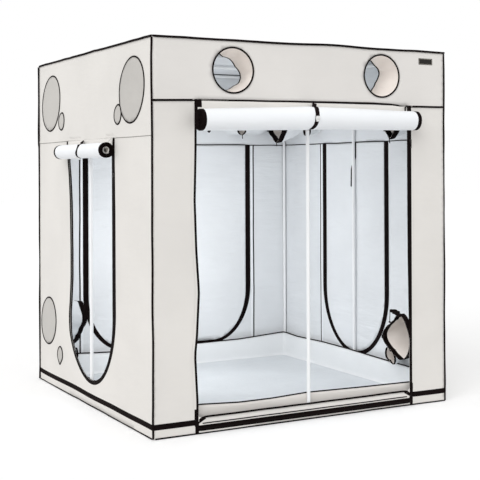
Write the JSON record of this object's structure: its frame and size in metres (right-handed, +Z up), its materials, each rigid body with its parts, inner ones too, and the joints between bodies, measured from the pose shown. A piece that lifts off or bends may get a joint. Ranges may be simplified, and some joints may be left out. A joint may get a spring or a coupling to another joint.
{
  "type": "indoor grow tent",
  "caption": "Square indoor grow tent of cream fabric over a white tube frame, with rolled-up and zipped doors, round vents with sleeves and a spill tray.",
  "frame": {"origin": "centre of the footprint, on the underside of the floor sheet", "axes": "+X to the right along the front wall, +Y from the front wall to the back wall, +Z up"},
  "size_m": [2.1059, 2.1375, 2.2],
  "materials": {
    "outer_fabric": "matt coated weave, cream outside",
    "inner_fabric": "smooth white lining",
    "tray_fabric": "smooth coated sheet",
    "trim_black": "black binding tape and webbing",
    "steel_tube": "white powder coat",
    "fitting_plastic": "white moulded plastic",
    "slider_black": "black enamelled zinc"
  },
  "bodies": {
    "tent": {"corner_post_front_left": "steel_tube", "corner_fitting_bottom_front_left": "fitting_plastic", "corner_fitting_top_front_left": "fitting_plastic", "corner_post_front_right": "steel_tube", "corner_fitting_bottom_front_right": "fitting_plastic", "corner_fitting_top_front_right": "fitting_plastic", "corner_post_back_right": "steel_tube", "corner_fitting_bottom_back_right": "fitting_plastic", "corner_fitting_top_back_right": "fitting_plastic", "corner_post_back_left": "steel_tube", "corner_fitting_bottom_back_left": "fitting_plastic", "corner_fitting_top_back_left": "fitting_plastic", "middle_post_front": "steel_tube", "bottom_rail_front": "steel_tube", "top_rail_front": "steel_tube", "tee_bottom_front": "fitting_plastic", "tee_top_front": "fitting_plastic", "front_wall": "outer_fabric", "front_zip": "trim_black", "middle_post_right": "steel_tube", "bottom_rail_right": "steel_tube", "top_rail_right": "steel_tube", "tee_bottom_right": "fitting_plastic", "tee_top_right": "fitting_plastic", "right_wall": "outer_fabric", "right_zip": "trim_black", "middle_post_back": "steel_tube", "bottom_rail_back": "steel_tube", "top_rail_back": "steel_tube", "tee_bottom_back": "fitting_plastic", "tee_top_back": "fitting_plastic", "back_wall": "outer_fabric", "back_zip": "trim_black", "middle_post_left": "steel_tube", "bottom_rail_left": "steel_tube", "top_rail_left": "steel_tube", "tee_bottom_left": "fitting_plastic", "tee_top_left": "fitting_plastic", "left_wall": "outer_fabric", "left_zip": "trim_black", "floor_sheet": "inner_fabric", "roof_sheet": "outer_fabric", "edge_binding": "trim_black", "spill_tray": "tray_fabric", "vent_sleeve_front_left": "inner_fabric", "vent_sleeve_front_right": "inner_fabric", "vent_sleeve_left_low": "inner_fabric", "vent_sleeve_right_low": "inner_fabric"},
    "front_roll": {"front_door": "inner_fabric", "front_roll_strap": "trim_black"},
    "left_roll": {"left_door": "inner_fabric", "left_roll_strap": "trim_black"},
    "back_flap": {"back_door": "outer_fabric"},
    "right_flap": {"right_door": "outer_fabric"},
    "front_slider": {"front_zip_slider": "slider_black"},
    "left_slider": {"left_zip_slider": "slider_black"},
    "back_slider": {"back_zip_slider": "slider_black"},
    "right_slider": {"right_zip_slider": "slider_black"},
    "front_hanger": {"hanger_bar_front": "steel_tube"},
    "back_hanger": {"hanger_bar_back": "steel_tube"}
  },
  "joints": [
    {"name": "front_roll_swing", "type": "hinge", "parent": "tent", "child": "front_roll", "pos_m": [0, -1, 1.86], "axis": [-1, 0, 0], "range_deg": [0, 40]},
    {"name": "left_roll_swing", "type": "hinge", "parent": "tent", "child": "left_roll", "pos_m": [-1, 0, 1.66], "axis": [0, 1, 0], "range_deg": [0, 40]},
    {"name": "back_door_lift", "type": "hinge", "parent": "tent", "child": "back_flap", "pos_m": [0, 1, 1.66], "axis": [1, 0, 0], "range_deg": [0, 90]},
    {"name": "right_door_lift", "type": "hinge", "parent": "tent", "child": "right_flap", "pos_m": [1, 0, 1.66], "axis": [0, -1, 0], "range_deg": [0, 90]},
    {"name": "front_zip_slide", "type": "slide", "parent": "tent", "child": "front_slider", "axis": [0, 0, 1], "range_m": [-1.5, 0]},
    {"name": "left_zip_slide", "type": "slide", "parent": "tent", "child": "left_slider", "axis": [0, 0, 1], "range_m": [-0.76, 0]},
    {"name": "back_zip_slide", "type": "slide", "parent": "tent", "child": "back_slider", "axis": [0, 0, 1], "range_m": [-0.95, 0]},
    {"name": "right_zip_slide", "type": "slide", "parent": "tent", "child": "right_slider", "axis": [0, 0, 1], "range_m": [-0.92, 0]},
    {"name": "front_hanger_slide", "type": "slide", "parent": "tent", "child": "front_hanger", "axis": [0, 1, 0], "range_m": [-0.5, 0.28]},
    {"name": "back_hanger_slide", "type": "slide", "parent": "tent", "child": "back_hanger", "axis": [0, 1, 0], "range_m": [-0.28, 0.5]}
  ]
}
